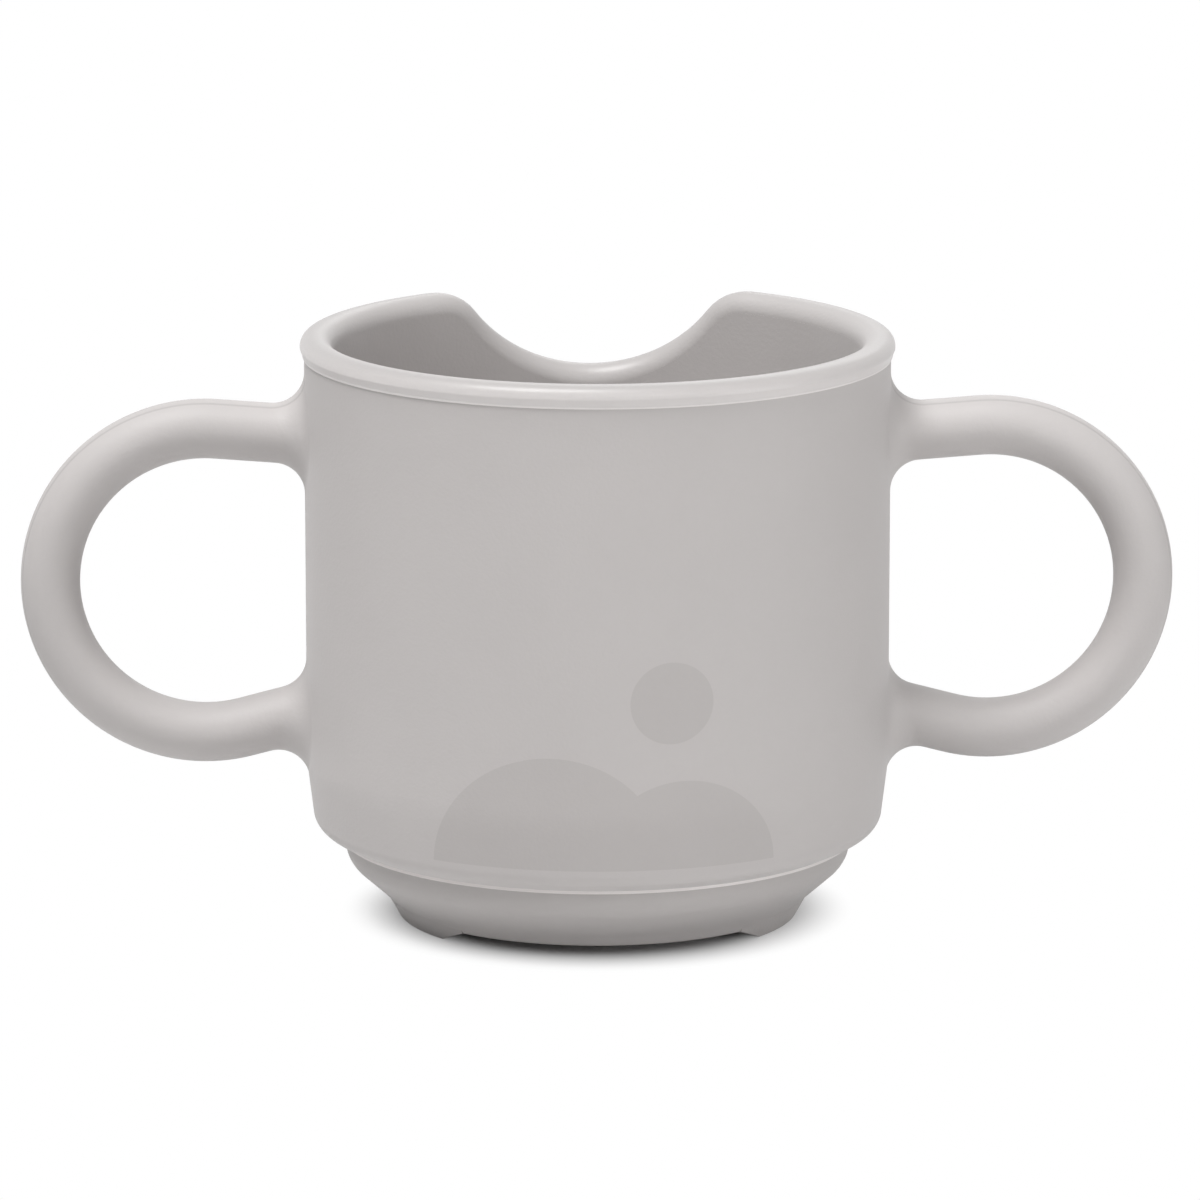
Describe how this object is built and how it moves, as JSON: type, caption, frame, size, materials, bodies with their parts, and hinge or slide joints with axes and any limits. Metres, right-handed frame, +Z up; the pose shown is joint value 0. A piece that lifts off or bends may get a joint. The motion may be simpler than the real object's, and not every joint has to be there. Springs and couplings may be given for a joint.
{
  "type": "baby drinking cup",
  "caption": "Open drinking cup for a baby in soft grey silicone, with a round handle at each side, a rolled rim with a nose cut-out at the back and a recessed base on low feet.",
  "frame": {"origin": "middle of the underside of the feet, on the table, on the axis of the cup", "axes": "+Z up along the axis of the cup, +X towards the right handle, -Y towards the front with the inlays, +Y towards the nose cut-out"},
  "size_m": [0.1422, 0.073, 0.0727],
  "materials": {
    "inner": "soft grey silicone, slightly glossy",
    "rim": "soft grey silicone, slightly glossy",
    "wall": "matte warm grey silicone",
    "handle": "matte warm grey silicone",
    "base": "matte warm grey silicone",
    "foot": "matte warm grey silicone",
    "inlay": "matte grey silicone, a little darker than the wall"
  },
  "bodies": {
    "root": {"inner_cup": "inner", "rim_bead": "rim", "outer_sleeve": "wall", "left_handle": "handle", "right_handle": "handle", "base": "base", "left_foot": "foot", "right_foot": "foot", "hills_inlay": "inlay", "sun_inlay": "inlay"}
  },
  "joints": []
}
